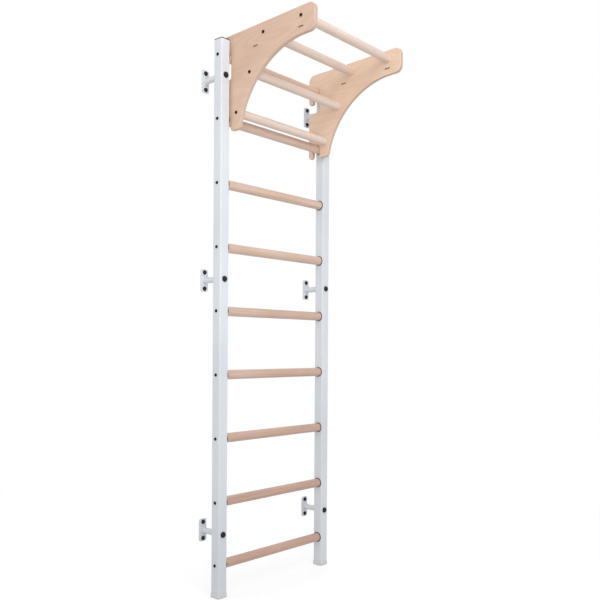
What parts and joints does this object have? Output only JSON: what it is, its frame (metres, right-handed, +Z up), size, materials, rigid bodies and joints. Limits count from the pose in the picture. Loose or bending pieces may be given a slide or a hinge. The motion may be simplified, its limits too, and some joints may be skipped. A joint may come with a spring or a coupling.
{
  "type": "swedish wall bars",
  "caption": "Wall-fixed gymnastics ladder of white square steel posts and round beech rungs, with a lift-off plywood pull-up frame hooked over its upper rungs.",
  "frame": {"origin": "on the floor at the foot of the wall, midway between the posts", "axes": "+X to the right seen from the front, +Y into the wall, +Z up; the wall is the plane Y = 0 and the front faces -Y"},
  "size_m": [0.6746, 0.5625, 2.2485],
  "materials": {
    "white_powder_coat": "satin white powder coat",
    "black_plastic": "moulded, satin",
    "pale_plastic": "moulded, matt",
    "black_rubber": "matt",
    "black_steel": "blackened, satin",
    "beech": "turned and clear lacquered",
    "plywood": "sanded and clear lacquered, with bare ply edges"
  },
  "bodies": {
    "ladder": {"left_post": "white_powder_coat", "left_post_cap": "black_plastic", "left_foot": "pale_plastic", "left_lower_bracket": "white_powder_coat", "left_lower_bracket_bolt": "black_plastic", "left_middle_bracket": "white_powder_coat", "left_middle_bracket_bolt": "black_plastic", "left_upper_bracket": "white_powder_coat", "left_upper_bracket_bolt": "black_plastic", "right_post": "white_powder_coat", "right_post_cap": "black_plastic", "right_foot": "pale_plastic", "right_lower_bracket": "white_powder_coat", "right_lower_bracket_bolt": "black_plastic", "right_middle_bracket": "white_powder_coat", "right_middle_bracket_bolt": "black_plastic", "right_upper_bracket": "white_powder_coat", "right_upper_bracket_bolt": "black_plastic", "rung_1": "beech", "left_ring_1": "black_rubber", "right_ring_1": "black_rubber", "rung_2": "beech", "left_ring_2": "black_rubber", "right_ring_2": "black_rubber", "rung_3": "beech", "left_ring_3": "black_rubber", "right_ring_3": "black_rubber", "rung_4": "beech", "left_ring_4": "black_rubber", "right_ring_4": "black_rubber", "rung_5": "beech", "left_ring_5": "black_rubber", "right_ring_5": "black_rubber", "rung_6": "beech", "left_ring_6": "black_rubber", "right_ring_6": "black_rubber", "rung_7": "beech", "left_ring_7": "black_rubber", "right_ring_7": "black_rubber", "rung_8": "beech", "left_ring_8": "black_rubber", "right_ring_8": "black_rubber", "rung_9": "beech", "left_ring_9": "black_rubber", "right_ring_9": "black_rubber"},
    "pull_up_frame": {"left_side_panel": "plywood", "left_panel_bolt_1": "black_steel", "left_panel_bolt_2": "black_steel", "left_panel_bolt_3": "black_steel", "left_panel_bolt_4": "black_steel", "right_side_panel": "plywood", "right_panel_bolt_1": "black_steel", "right_panel_bolt_2": "black_steel", "right_panel_bolt_3": "black_steel", "right_panel_bolt_4": "black_steel", "pull_up_bar_1": "beech", "pull_up_bar_2": "beech", "pull_up_bar_3": "beech", "pull_up_bar_4": "beech"}
  },
  "joints": [
    {"name": "frame_lift", "type": "slide", "parent": "ladder", "child": "pull_up_frame", "axis": [0, 0, 1], "range_m": [0, 0.07]}
  ]
}
